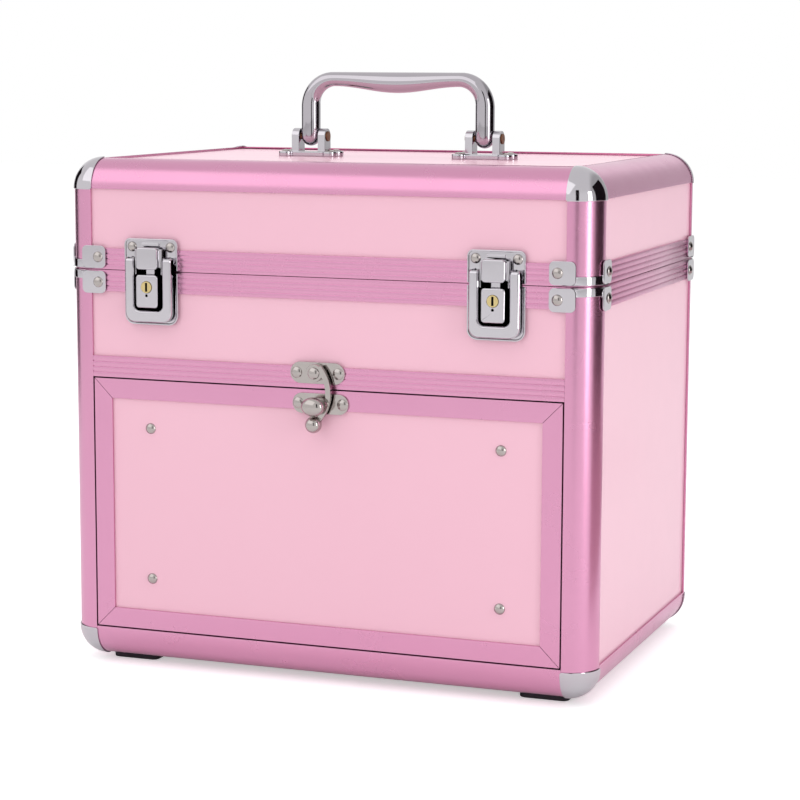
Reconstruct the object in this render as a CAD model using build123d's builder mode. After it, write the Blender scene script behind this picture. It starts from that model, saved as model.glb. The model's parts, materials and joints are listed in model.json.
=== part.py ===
from build123d import *
import math
import os

# Makeup storage case with a lift-up lid, a drawer and a carrying handle.
# Millimetres. Z is up, the front faces -Y, and the origin is under the middle, on the floor that the feet
# stand on.

# ---- Case ----
case_width = 330.0
case_depth = 238.0
body_height = 237.5
lid_height = 65.8
foot_height = 4.0
parting_gap = 0.4

# ---- Aluminium edge rails ----
rail_radius = 17.7
lip_thickness = 1.3
leg_thickness = 1.2
slot_depth = 5.0
sill_height = 19.6
rim_height = 12.6
rim_web = 4.0
groove_width = 0.7
groove_depth = 0.4
groove_count = 3
tongue_height = 2.0
tongue_width = 1.6
tongue_clearance = 0.3

# ---- Panels ----
panel_thickness = 5.0
slot_clearance = 0.1
edge_clearance = 0.4
lining_thickness = 1.5
lining_margin = 0.4

# ---- Cross rail, compartment floor and inner boards ----
cross_rail_height = 12.7
cross_rail_drop = 51.6
ledge_depth = 14.0
ledge_thickness = 1.5
floor_thickness = 5.0
board_thickness = 11.6
board_end_gap = 1.0

# ---- Corner caps and corner clips ----
cap_proud = 0.8
cap_fit = 0.1
cap_flange = 0.6
clip_thickness = 1.0
clip_height = 13.6
clip_reach = 27.4
clip_tab_length = 15.6
clip_band_height = 5.0
clip_corner = 3.2
clip_screw_reach = 22.4
clip_screw_radius = 3.3
clip_screw_height = 1.6
clip_gap = 0.5

# ---- Feet ----
foot_length = 30.0
foot_width = 19.0
foot_corner = 4.0
foot_side_gap = 1.0

# ---- Lid hinges ----
hinge_offset = 90.0
hinge_width = 44.0
hinge_knuckle = 15.0
hinge_play = 0.3
hinge_leaf_height = 11.6
hinge_leaf_thickness = 1.2
knuckle_radius = 2.1
hinge_stand_off = 2.3
hinge_pin_radius = 1.0
pin_fit = 0.05

# ---- Draw latches ----
latch_inset = 57.8
latch_half_width = 17.3
keeper_corner = 3.6
base_corner = 6.0
latch_plate = 0.9
latch_rim = 0.8
latch_rim_width = 1.0
keeper_top = 19.6
base_bottom = 31.5
plate_gap = 0.5
latch_rivet_x = 12.4
latch_rivet_z = 14.6
latch_rivet_radius = 3.2
latch_rivet_height = 1.6
lever_pivot_height = 6.1
lever_pivot_out = 3.8
lever_nose = 2.6
lever_outer_half = 15.0
lever_inner_half = 9.1
lever_bottom = 29.8
lever_bar = 7.0
lever_sheet = 1.0
lever_flange = 1.1
lever_back_out = 2.3
lever_corner = 6.0
lever_inner_corner = 3.6
lever_bevel = 0.7
claw_drop = 6.0
claw_half = 6.9
claw_bottom = 1.7
claw_top = 14.7
claw_out = 8.0
claw_wall = 1.1
claw_back_out = 3.3
claw_strip = 0.9
claw_strip_gap = 0.3
claw_strip_front = 5.1
trunnion_radius = 0.8
ear_radius = 1.3
ear_thickness = 1.1
ear_gap = 0.3
ear_root = 3.9
ear_heel = 2.6
shelf_half = 4.8
shelf_thickness = 1.2
shelf_gap = 0.4
shelf_tip_gap = 1.0
rib_half = 5.5
rib_height = 1.9
rib_out = 2.4
rib_gap = 0.4
lock_half = 7.0
lock_top = 1.4
lock_bottom = 20.9
lock_edge = 2.0
lock_chamfer = 0.5
lock_tongue_half = 2.8
lock_tongue_top = 3.0
lock_tongue_out = 2.5
plug_drop = 8.6
plug_radius = 3.4
plug_fit = 0.05
plug_back_out = 2.0
plug_front_out = 8.3
key_slot_width = 1.3
key_slot_height = 5.2
key_slot_depth = 2.4
key_mark_drop = 5.0
key_mark_radius = 0.7

# ---- Swing hook ----
hook_plate_x = -1.2
hook_plate_drop = 3.6
hook_plate_length = 34.0
hook_plate_height = 12.6
hook_sheet = 1.2
hook_screw_spacing = 25.8
hook_screw_radius = 3.5
hook_screw_height = 1.5
hook_pivot_x = -1.8
hook_pivot_drop = 3.3
hook_boss_radius = 5.0
hook_boss_out = 2.8
hook_stud_radius = 1.8
hook_head_radius = 3.6
hook_head_height = 1.5
arm_back_out = 3.1
arm_thickness = 2.5
arm_play = 0.4
arm_width = 3.4
arm_disc_radius = 5.2
arm_bow_radius = 22.5
arm_bow_x = -15.5
arm_bow_drop = 14.7
arm_start_angle = 38.0
arm_end_angle = -41.0
ball_radius = 4.9
ball_x = -1.5
ball_drop = 33.1
ball_out = 6.6
knob_plate_x = 0.6
knob_plate_drop = 21.4
knob_plate_length = 35.0
knob_plate_height = 12.0
knob_screw_spacing = 27.6
knob_x = -0.6
knob_drop = 22.2
knob_collar_radius = 3.8
knob_collar_out = 5.4
knob_waist_radius = 3.0
knob_head_out = 9.9
knob_head_half_length = 7.0
knob_head_radius = 5.6
knob_head_half_depth = 4.4

# ---- Drawer ----
drawer_gap = 0.8
drawer_frame_width = 11.8
mitre_gap = 0.1
drawer_board = 8.0
drawer_back_gap = 20.9
drawer_box_lift = 12.7
drawer_box_drop = 24.5
drawer_floor_thickness = 4.0
drawer_floor_lift = 3.0
bolt_side_inset = 23.0
bolt_top_inset = 29.2
bolt_bottom_inset = 31.2
bolt_head_radius = 3.4
bolt_head_height = 1.9
bolt_shank_radius = 2.0
bolt_fit = 0.05
nut_radius = 4.2
nut_thickness = 3.0

# ---- Drawer runners ----
runner_lift = 34.0
runner_side_gap = 4.2
channel_width = 8.5
channel_height = 17.0
channel_sheet = 1.2
runner_clearance = 0.4
bar_neck_half = 3.6

# ---- Carrying handle ----
handle_back_offset = 6.5
handle_spacing = 115.0
handle_top = 116.9
handle_pivot_lift = 9.3
bracket_base_length = 39.0
bracket_base_width = 12.0
bracket_base_thickness = 3.2
bracket_lobe_radius = 4.6
bracket_lobe_x = 14.8
bracket_lobe_y = 5.4
bracket_screw_radius = 3.0
bracket_screw_height = 1.2
bracket_ear_thickness = 5.0
bracket_ear_radius = 5.0
leg_radius = 6.0
leg_ear_gap = 0.3
handle_pin_radius = 2.0
handle_pin_head_radius = 3.2
handle_pin_head = 0.7
bend_radius = 16.0
grip_end_height = 8.8
grip_mid_height = 12.8
grip_end_width = 9.4
grip_mid_width = 13.0
bend_sections = 4
grip_sections = 8

# ---- Derived places ----
half_width = case_width / 2
half_depth = case_depth / 2
front = -half_depth
back = half_depth
floor_z = foot_height
parting = foot_height + body_height
lid_low = parting + parting_gap
lid_top = parting + lid_height
panel_slot = panel_thickness + 2 * slot_clearance
panel_recess = lip_thickness + slot_clearance
rail_depth = lip_thickness + panel_slot + leg_thickness
panel_reach = slot_depth - edge_clearance
post_x = half_width - rail_radius
post_y = half_depth - rail_radius
panel_half_x = post_x + panel_reach
panel_half_y = post_y + panel_reach
inner_x = half_width - rail_depth
board_inner_half = inner_x - board_thickness
inner_y = half_depth - rail_depth
cross_top = parting - cross_rail_drop
cross_low = cross_top - cross_rail_height
compartment_low = cross_low + ledge_thickness
sill_top = floor_z + sill_height
# The walls are drawn about the case's own middle; the finished pieces move back by half of what the
# knob reaches further out than the hinges do, so that the origin is in the middle of the whole depth.
middle_shift = (knob_head_out + knob_head_half_depth - hinge_stand_off - knuckle_radius) / 2

os.makedirs("parts", exist_ok=True)


def save(builder, label):
    """Sets a finished piece in the part's frame, names it and writes its file."""
    builder.part.move(Location((0, middle_shift, 0)))
    builder.part.label = label
    export_step(builder.part, f"parts/{label}.step")


def block(low, high):
    """A solid between two corners."""
    size = [b - a for a, b in zip(low, high)]
    middle = [(a + b) / 2 for a, b in zip(low, high)]
    return Pos(*middle) * Box(*size, mode=Mode.PRIVATE)


def front_plane(x, z, out=0.0):
    """A plane that faces forwards, with its own X to the right and its own Y up."""
    return Plane(origin=(x, front - out, z), x_dir=(1, 0, 0), z_dir=(0, -1, 0))


def side_plane(x, z):
    """A plane across X at the front face, with its own X pointing out of the case and its own Y up."""
    return Plane(origin=(x, front, z), x_dir=(0, -1, 0), z_dir=(-1, 0, 0))


def dome(radius, height):
    """A low round head on the XY plane, the top of a larger ball."""
    ball = (radius**2 + height**2) / (2 * height)
    with BuildPart() as head:
        with Locations((0, 0, height - ball)):
            Sphere(ball)
        with Locations((0, 0, ball)):
            Box(2 * ball, 2 * ball, 2 * ball, mode=Mode.INTERSECT)
    return head.part


# ---------------------------------------------------------------- rail sections


def edge_section(extra):
    """Quarter-round rail: X runs in from one face and Y from the other; extra lengthens the leg along Y."""
    r = rail_radius
    tall = r + extra
    slot_in = lip_thickness + panel_slot
    leg_in = rail_depth
    bulge = r - r * math.cos(math.pi / 4)
    with BuildSketch() as section:
        with BuildLine():
            ThreePointArc((0, r), (bulge, bulge), (r, 0))
            points = [
                (r, 0),
                (r, lip_thickness),
                (r - slot_depth, lip_thickness),
                (r - slot_depth, slot_in),
                (r, slot_in),
                (r, leg_in),
                (leg_in, leg_in),
                (leg_in, tall),
                (slot_in, tall),
                (slot_in, tall - slot_depth),
                (lip_thickness, tall - slot_depth),
                (lip_thickness, tall),
                (0, tall),
            ]
            if extra > 0:
                points.append((0, r))
            Polyline(*points)
        make_face()
    return section.sketch


def grooves(height):
    """Fine lengthwise grooves in an outer face along Y, evenly spaced over its height."""
    with BuildSketch() as cuts:
        for number in range(1, groove_count + 1):
            with Locations((groove_depth / 2, height * number / (groove_count + 1))):
                Rectangle(groove_depth, groove_width)
    return cuts.sketch


def rim_section(tongue_side):
    """Rim rail: X runs in from the outer face, Y away from the parting line.

    Side 1 has a tongue, -1 its groove and 0 neither.
    """
    slot_middle = lip_thickness + panel_slot / 2
    with BuildSketch() as section:
        with Locations((rail_depth / 2, rim_height / 2)):
            Rectangle(rail_depth, rim_height)
        with Locations((slot_middle, (rim_height + rim_web) / 2)):
            Rectangle(panel_slot, rim_height - rim_web, mode=Mode.SUBTRACT)
        if tongue_side > 0:
            with Locations((slot_middle, -tongue_height / 2)):
                Rectangle(tongue_width, tongue_height)
        if tongue_side < 0:
            with Locations((slot_middle, tongue_height / 2)):
                Rectangle(
                    tongue_width + 2 * tongue_clearance,
                    tongue_height,
                    mode=Mode.SUBTRACT,
                )
        add(grooves(rim_height), mode=Mode.SUBTRACT)
    return section.sketch


def rail_plane(middle, inward_a, inward_b):
    """The plane across a rail at its middle, its X and Y pointing into the case from the rail's two faces."""
    across = Vector(*inward_a).cross(Vector(*inward_b))
    return Plane(origin=middle, x_dir=inward_a, z_dir=across)


wide_length = case_width - 2 * rail_radius
deep_length = case_depth - 2 * rail_radius
plain_edge = edge_section(0)
sill_edge = edge_section(sill_height - rail_radius)
# Each wall: the middle of its outer face, the way into the case, and its rails' length.
walls = [
    ((0, front), (0, 1, 0), wide_length),
    ((0, back), (0, -1, 0), wide_length),
    ((-half_width, 0), (1, 0, 0), deep_length),
    ((half_width, 0), (-1, 0, 0), deep_length),
]
corners = [(sx, sy) for sx in (-1, 1) for sy in (-1, 1)]

# ---------------------------------------------------------------- lid shell

with BuildPart() as lid_top_panel:
    with BuildSketch(Plane.XY.offset(lid_top - panel_recess)):
        Rectangle(2 * panel_half_x, 2 * panel_half_y)
    extrude(amount=-panel_thickness)
save(lid_top_panel, "lid_top_panel")

lid_panel_low = lid_low + rim_web + edge_clearance
lid_panel_high = lid_top - rail_radius + panel_reach
lid_panel_height = lid_panel_high - lid_panel_low
lid_panel_middle = (lid_panel_high + lid_panel_low) / 2

for wall_side, panel_name in ((-1, "lid_front_panel"), (1, "lid_back_panel")):
    with BuildPart() as lid_long_panel:
        with BuildSketch(Plane.XZ.offset(-wall_side * (half_depth - panel_recess))):
            with Locations((0, lid_panel_middle)):
                Rectangle(2 * panel_half_x, lid_panel_height)
        extrude(amount=wall_side * panel_thickness)
    save(lid_long_panel, panel_name)

with BuildPart() as lid_side_panels:
    for wall_side in (-1, 1):
        with BuildSketch(Plane.YZ.offset(wall_side * (half_width - panel_recess))):
            with Locations((0, lid_panel_middle)):
                Rectangle(2 * panel_half_y, lid_panel_height)
        extrude(amount=-wall_side * panel_thickness)
save(lid_side_panels, "lid_side_panels")

with BuildPart() as lid_top_rails:
    for (x, y), inward, length in walls:
        with BuildSketch(rail_plane((x, y, lid_top), inward, (0, 0, -1))):
            add(plain_edge)
        extrude(amount=length / 2, both=True)
save(lid_top_rails, "lid_top_rails")

with BuildPart() as lid_corner_posts:
    for sx, sy in corners:
        with BuildSketch(rail_plane((sx * half_width, sy * half_depth, lid_low), (-sx, 0, 0), (0, -sy, 0))):
            add(plain_edge)
        extrude(amount=lid_height - parting_gap - rail_radius, dir=(0, 0, 1))
save(lid_corner_posts, "lid_corner_posts")

with BuildPart() as lid_rim_rails:
    for (x, y), inward, length in walls:
        with BuildSketch(rail_plane((x, y, lid_low), inward, (0, 0, 1))):
            add(rim_section(0 if y == back else -1))
        extrude(amount=length / 2, both=True)
save(lid_rim_rails, "lid_rim_rails")

with BuildPart() as lid_lining:
    with BuildSketch(Plane.XY.offset(lid_top - panel_recess - panel_thickness)):
        Rectangle(2 * (post_x - lining_margin), 2 * (post_y - lining_margin))
    extrude(amount=-lining_thickness)
save(lid_lining, "lid_lining")

# ---------------------------------------------------------------- case shell

with BuildPart() as bottom_panel:
    with BuildSketch(Plane.XY.offset(floor_z + panel_recess)):
        Rectangle(2 * panel_half_x, 2 * panel_half_y)
    extrude(amount=panel_thickness)
save(bottom_panel, "bottom_panel")

wall_low = sill_top - panel_reach
wall_high = parting - rim_web - edge_clearance
wall_middle = (wall_low + wall_high) / 2

with BuildPart() as back_panel:
    with BuildSketch(Plane.XZ.offset(-(half_depth - panel_recess))):
        with Locations((0, wall_middle)):
            Rectangle(2 * panel_half_x, wall_high - wall_low)
    extrude(amount=panel_thickness)
save(back_panel, "back_panel")

for wall_side, panel_name in ((-1, "left_side_panel"), (1, "right_side_panel")):
    with BuildPart() as side_panel:
        with BuildSketch(Plane.YZ.offset(wall_side * (half_width - panel_recess))):
            with Locations((0, wall_middle)):
                Rectangle(2 * panel_half_y, wall_high - wall_low)
        extrude(amount=-wall_side * panel_thickness)
    save(side_panel, panel_name)

upper_low = cross_top - panel_reach

with BuildPart() as upper_front_panel:
    with BuildSketch(Plane.XZ.offset(half_depth - panel_recess)):
        with Locations((0, (upper_low + wall_high) / 2)):
            Rectangle(2 * panel_half_x, wall_high - upper_low)
    extrude(amount=-panel_thickness)
save(upper_front_panel, "upper_front_panel")

with BuildPart() as cross_rail:
    with BuildSketch(rail_plane((0, front, cross_low), (0, 1, 0), (0, 0, 1))):
        with Locations((rail_depth / 2, cross_rail_height / 2)):
            Rectangle(rail_depth, cross_rail_height)
        with Locations((lip_thickness + panel_slot / 2, cross_rail_height - slot_depth / 2)):
            Rectangle(panel_slot, slot_depth, mode=Mode.SUBTRACT)
        with Locations((ledge_depth / 2, ledge_thickness / 2)):
            Rectangle(ledge_depth, ledge_thickness)
        add(grooves(cross_rail_height), mode=Mode.SUBTRACT)
    extrude(amount=wide_length / 2, both=True)
save(cross_rail, "cross_rail")

with BuildPart() as compartment_floor:
    add(
        block(
            (-inner_x + slot_clearance, front + rail_depth, compartment_low),
            (inner_x - slot_clearance, inner_y - slot_clearance, compartment_low + floor_thickness),
        )
    )
save(compartment_floor, "compartment_floor")

lining_top = compartment_low + floor_thickness + lining_thickness

with BuildPart() as compartment_lining:
    add(
        block(
            (-inner_x + lining_margin, -inner_y + lining_margin, compartment_low + floor_thickness),
            (inner_x - lining_margin, inner_y - lining_margin, lining_top),
        )
    )
save(compartment_lining, "compartment_lining")

with BuildPart() as body_corner_posts:
    for sx, sy in corners:
        with BuildSketch(rail_plane((sx * half_width, sy * half_depth, parting), (-sx, 0, 0), (0, -sy, 0))):
            add(plain_edge)
        extrude(amount=body_height - rail_radius, dir=(0, 0, -1))
save(body_corner_posts, "body_corner_posts")

with BuildPart() as body_rim_rails:
    for (x, y), inward, length in walls:
        with BuildSketch(rail_plane((x, y, parting), inward, (0, 0, -1))):
            add(rim_section(0 if y == back else 1))
        extrude(amount=length / 2, both=True)
save(body_rim_rails, "body_rim_rails")

with BuildPart() as bottom_rails:
    for (x, y), inward, length in walls:
        with BuildSketch(rail_plane((x, y, floor_z), inward, (0, 0, 1))):
            add(sill_edge)
        extrude(amount=length / 2, both=True)
save(bottom_rails, "bottom_rails")

board_low = floor_z + rail_depth

with BuildPart() as runner_boards:
    for sx in (-1, 1):
        inner_face = sx * board_inner_half
        outer_face = sx * inner_x
        add(
            block(
                (min(inner_face, outer_face), -post_y + board_end_gap, board_low),
                (max(inner_face, outer_face), post_y - board_end_gap, compartment_low),
            )
        )
save(runner_boards, "runner_boards")

foot_x = post_x - foot_side_gap - foot_length / 2
foot_y = post_y - foot_side_gap - foot_width / 2

with BuildPart() as rubber_feet:
    with BuildSketch():
        with Locations(*[(sx * foot_x, sy * foot_y) for sx, sy in corners]):
            RectangleRounded(foot_length, foot_width, foot_corner)
    extrude(amount=floor_z + panel_recess)
save(rubber_feet, "rubber_feet")

# ---------------------------------------------------------------- corner caps and clips


def ring_sector(inner, outer):
    """A quarter ring in the first quadrant."""
    with BuildSketch() as sector:
        Circle(outer)
        Circle(inner, mode=Mode.SUBTRACT)
        with Locations((outer / 2, outer / 2)):
            Rectangle(outer, outer, mode=Mode.INTERSECT)
    return sector.sketch


def corner_cap(centre_z, upward):
    """Ball corner at the right back edge: a pressed ball shell with a flange over each rail's end."""
    outer = rail_radius + cap_proud
    flange = ring_sector(rail_radius + cap_fit, outer)
    centre = Vector(post_x, post_y, centre_z)
    away = (0, 0, upward)
    with BuildPart() as cap:
        with BuildSketch(Plane(origin=centre, x_dir=(1, 0, 0), z_dir=(0, -upward, 0))):
            add(flange)
        revolve(axis=Axis(centre, (0, 0, 1)), revolution_arc=90)
        for x_dir, y_dir in (((0, 1, 0), away), ((1, 0, 0), away), ((1, 0, 0), (0, 1, 0))):
            across = Vector(*x_dir).cross(Vector(*y_dir))
            inward = Vector(*[-abs(v) for v in across])
            if across.Z != 0:
                inward = Vector(0, 0, -upward)
            with BuildSketch(Plane(origin=centre, x_dir=x_dir, z_dir=across)):
                add(flange)
            extrude(amount=cap_flange, dir=inward)
    return cap.part


def corner_clip(low):
    """Strap clip at the right front edge, its band next to the parting line; low is its lower edge."""
    band_low = low if low > parting else low + clip_height - clip_band_height
    tab_middle = clip_reach - clip_tab_length / 2
    centre_z = low + clip_height / 2
    with BuildPart() as clip:
        with BuildSketch(front_plane(half_width - tab_middle, centre_z)):
            RectangleRounded(clip_tab_length, clip_height, clip_corner)
        extrude(amount=clip_thickness)
        with BuildSketch(Plane.YZ.offset(half_width)):
            with Locations((front + tab_middle, centre_z)):
                RectangleRounded(clip_tab_length, clip_height, clip_corner)
        extrude(amount=clip_thickness)
        with BuildSketch(Plane(origin=(post_x, -post_y, band_low), x_dir=(0, -1, 0), z_dir=(0, 0, 1))):
            add(ring_sector(rail_radius + cap_fit, rail_radius + clip_thickness))
        extrude(amount=clip_band_height)
    return clip.part


def clip_screws(height):
    """The two screw heads of the right front clip at a given height."""
    head = dome(clip_screw_radius, clip_screw_height)
    reach = clip_screw_reach
    with BuildPart() as pair:
        with Locations(front_plane(half_width - reach, height, clip_thickness)):
            add(head)
        with Locations(Plane(origin=(half_width + clip_thickness, front + reach, height), z_dir=(1, 0, 0))):
            add(head)
    return pair.part


lid_clip_low = lid_low + clip_gap
body_clip_low = parting - clip_gap - clip_height

for piece, label in (
    (corner_cap(lid_top - rail_radius, 1), "lid_corner_caps"),
    (corner_cap(floor_z + rail_radius, -1), "bottom_corner_caps"),
    (corner_clip(lid_clip_low), "lid_corner_clips"),
    (corner_clip(body_clip_low), "body_corner_clips"),
    (clip_screws(lid_clip_low + clip_height / 2), "lid_clip_screws"),
    (clip_screws(body_clip_low + clip_height / 2), "body_clip_screws"),
):
    with BuildPart() as four_corners:
        add(piece)
        mirror(about=Plane.YZ)
        mirror(about=Plane.XZ)
    save(four_corners, label)

# ---------------------------------------------------------------- lid hinges

hinge_y = back + hinge_stand_off
hinge_z = parting + parting_gap / 2
leaf_relief = knuckle_radius + hinge_play


def hinge_leaf(side):
    """Both hinges' leaves: side 1 on the lid with the middle knuckle, -1 on the case with the outer two."""
    leaf_low = hinge_z + leaf_relief
    leaf_high = hinge_z + hinge_leaf_height
    end_knuckle = (hinge_width - hinge_knuckle) / 2 - hinge_play
    outer_middle = hinge_width / 2 - end_knuckle / 2
    knuckles = [(0, hinge_knuckle)] if side > 0 else [(sign * outer_middle, end_knuckle) for sign in (-1, 1)]
    with BuildPart() as leaves:
        for hinge_x in (-hinge_offset, hinge_offset):
            add(
                block(
                    (hinge_x - hinge_width / 2, back, leaf_low),
                    (hinge_x + hinge_width / 2, back + hinge_leaf_thickness, leaf_high),
                )
            )
            for offset_x, length in knuckles:
                middle_x = hinge_x + offset_x
                add(
                    block(
                        (middle_x - length / 2, back, hinge_z),
                        (middle_x + length / 2, back + hinge_leaf_thickness, leaf_low),
                    )
                )
                with Locations(Plane(origin=(middle_x, hinge_y, hinge_z), z_dir=(1, 0, 0))):
                    Cylinder(knuckle_radius, length)
                    Cylinder(hinge_pin_radius + pin_fit, length, mode=Mode.SUBTRACT)
        if side < 0:
            mirror(about=Plane.XY.offset(hinge_z), mode=Mode.REPLACE)
    return leaves.part


for leaf_side, label in ((1, "lid_hinge_leaves"), (-1, "body_hinge_leaves")):
    with BuildPart() as hinge_leaves:
        add(hinge_leaf(leaf_side))
    save(hinge_leaves, label)

with BuildPart() as hinge_pins:
    with Locations(*[Plane(origin=(sx * hinge_offset, hinge_y, hinge_z), z_dir=(1, 0, 0)) for sx in (-1, 1)]):
        Cylinder(hinge_pin_radius, hinge_width)
save(hinge_pins, "hinge_pins")

# ---------------------------------------------------------------- draw latches


def latch_plate_outline(low, high, rounded_top):
    """A latch plate's outline on the front, between two heights above the parting line."""
    with BuildSketch() as outline:
        with Locations((0, (low + high) / 2)):
            Rectangle(2 * latch_half_width, high - low)
        ends = outline.vertices().group_by(Axis.Y)[-1 if rounded_top else 0]
        fillet(ends, keeper_corner if rounded_top else base_corner)
    return outline.sketch


def rimmed_plate(x, low, high, rounded_top):
    """A thin plate with a raised rim round three sides, open at the parting line."""
    outline = latch_plate_outline(low, high, rounded_top)
    open_shift = -latch_rim_width if rounded_top else latch_rim_width
    corner = keeper_corner if rounded_top else base_corner
    with BuildPart() as plate:
        with BuildSketch(front_plane(x, parting)):
            add(outline)
        extrude(amount=latch_plate + latch_rim)
        with BuildSketch(front_plane(x, parting, latch_plate)):
            with Locations((0, (low + high) / 2 + open_shift)):
                RectangleRounded(
                    2 * (latch_half_width - latch_rim_width),
                    high - low,
                    corner - latch_rim_width,
                )
            with Locations((0, low if rounded_top else high)):
                Rectangle(2 * (latch_half_width - latch_rim_width), 2 * corner)
        extrude(amount=latch_rim, mode=Mode.SUBTRACT)
    return plate.part


shelf_top = claw_top - claw_wall - shelf_gap
shelf_out = claw_out - claw_wall - shelf_tip_gap
trunnion_height = lever_pivot_height - claw_drop
ear_outer_half = lever_outer_half - lever_flange - ear_gap
ear_inner_half = ear_outer_half - ear_thickness
strip_outer_half = lever_inner_half - claw_strip_gap
strip_inner_half = strip_outer_half - claw_strip
keeper_low = parting_gap + plate_gap


def keeper_plate(x):
    """Catch plate on the lid: a rimmed plate with the shelf that the claw hooks over, and a rib above it."""
    with BuildPart() as keeper:
        add(rimmed_plate(x, keeper_low, keeper_top, True))
        with BuildSketch(front_plane(x, parting, latch_plate)):
            with Locations((0, shelf_top - shelf_thickness / 2)):
                Rectangle(2 * shelf_half, shelf_thickness)
        extrude(amount=shelf_out - latch_plate)
        with BuildSketch(front_plane(x, parting, latch_plate)):
            with Locations((0, claw_top + rib_gap + rib_height / 2)):
                Rectangle(2 * rib_half, rib_height)
        extrude(amount=rib_out - latch_plate)
    return keeper.part


def latch_base(x):
    """Base plate on the case: a rimmed plate with two ears that carry the lever above the parting line."""
    with BuildPart() as base:
        add(rimmed_plate(x, -base_bottom, -plate_gap, False))
        for sign in (-1, 1):
            ear_x = x + sign * (ear_outer_half - ear_thickness / 2)
            with BuildSketch(side_plane(ear_x, parting)):
                with BuildLine():
                    Polyline(
                        (latch_plate, -ear_root),
                        (lever_pivot_out + ear_radius, -ear_heel),
                        (lever_pivot_out + ear_radius, lever_pivot_height),
                    )
                    ThreePointArc(
                        (lever_pivot_out + ear_radius, lever_pivot_height),
                        (lever_pivot_out, lever_pivot_height + ear_radius),
                        (lever_pivot_out - ear_radius, lever_pivot_height),
                    )
                    Polyline(
                        (lever_pivot_out - ear_radius, lever_pivot_height),
                        (lever_pivot_out - ear_radius, -plate_gap),
                        (latch_plate, -plate_gap),
                        (latch_plate, -ear_root),
                    )
                make_face()
                with Locations((lever_pivot_out, lever_pivot_height)):
                    Circle(trunnion_radius + pin_fit, mode=Mode.SUBTRACT)
            extrude(amount=ear_thickness / 2, both=True)
    return base.part


def lock_body(x):
    """Lock housing inside the lever's frame, bored for the key plug, with a tongue at its back."""
    with BuildPart() as lock:
        with BuildSketch(front_plane(x, parting, latch_plate)):
            with Locations((0, -(lock_top + lock_bottom) / 2)):
                Rectangle(2 * lock_half, lock_bottom - lock_top)
        extrude(amount=claw_out - latch_plate)
        fillet(lock.edges().filter_by(Axis.Y), lock_edge)
        chamfer(lock.faces().sort_by(Axis.Y)[0].edges(), lock_chamfer)
        with BuildSketch(front_plane(x, parting, plug_back_out)):
            with Locations((0, -plug_drop)):
                Circle(plug_radius + plug_fit)
            with Locations((0, -plug_drop - key_mark_drop)):
                Circle(key_mark_radius)
        extrude(amount=claw_out, mode=Mode.SUBTRACT)
        add(
            block(
                (x - lock_tongue_half, front - lock_tongue_out, parting - lock_top - lock_edge),
                (x + lock_tongue_half, front - lock_tongue_out + lever_sheet, parting + lock_tongue_top),
            )
        )
    return lock.part


def key_plug(x):
    """Brass key plug with an upright key slot."""
    with BuildPart() as plug:
        with BuildSketch(front_plane(x, parting - plug_drop, plug_back_out)):
            Circle(plug_radius)
        extrude(amount=plug_front_out - plug_back_out)
        with BuildSketch(front_plane(x, parting - plug_drop, plug_front_out)):
            Rectangle(key_slot_width, key_slot_height)
        extrude(amount=-key_slot_depth, mode=Mode.SUBTRACT)
    return plug.part


def latch_lever(x):
    """U-shaped lever: a front sheet with turned-back flanges, rounded about its pivot at the top."""
    front_out = lever_pivot_out + lever_nose
    channel_inner = lever_inner_half + lever_sheet
    channel_outer = lever_outer_half - lever_flange
    arm_top = lever_pivot_height + lever_nose
    bar_top = -lever_bottom + lever_bar
    with BuildPart() as lever:
        with BuildSketch(front_plane(x, parting)) as outline:
            with Locations((0, (arm_top - lever_bottom) / 2)):
                Rectangle(2 * lever_outer_half, arm_top + lever_bottom)
            fillet(outline.vertices().group_by(Axis.Y)[0], lever_corner)
            with Locations((0, arm_top)):
                RectangleRounded(
                    2 * lever_inner_half,
                    2 * (arm_top - bar_top),
                    lever_inner_corner,
                    mode=Mode.SUBTRACT,
                )
        extrude(amount=front_out)
        with BuildSketch(side_plane(x, parting)):
            with Locations(((lever_back_out + front_out) / 2, (lever_pivot_height - lever_bottom) / 2)):
                Rectangle(front_out - lever_back_out, lever_pivot_height + lever_bottom)
            with Locations((lever_pivot_out, lever_pivot_height)):
                Circle(lever_nose)
        extrude(amount=latch_half_width, both=True, mode=Mode.INTERSECT)
        chamfer(lever.faces().sort_by(Axis.Y)[0].edges(), lever_bevel)
        for sign in (-1, 1):
            inner_face = x + sign * channel_inner
            outer_face = x + sign * channel_outer
            add(
                block(
                    (min(inner_face, outer_face), front - front_out + lever_sheet, parting + bar_top),
                    (max(inner_face, outer_face), front, parting + arm_top),
                ),
                mode=Mode.SUBTRACT,
            )
        with BuildSketch(side_plane(x, parting)):
            with Locations((lever_pivot_out, lever_pivot_height), (lever_pivot_out, trunnion_height)):
                Circle(trunnion_radius + pin_fit)
        extrude(amount=latch_half_width, both=True, mode=Mode.SUBTRACT)
    return lever.part


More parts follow.
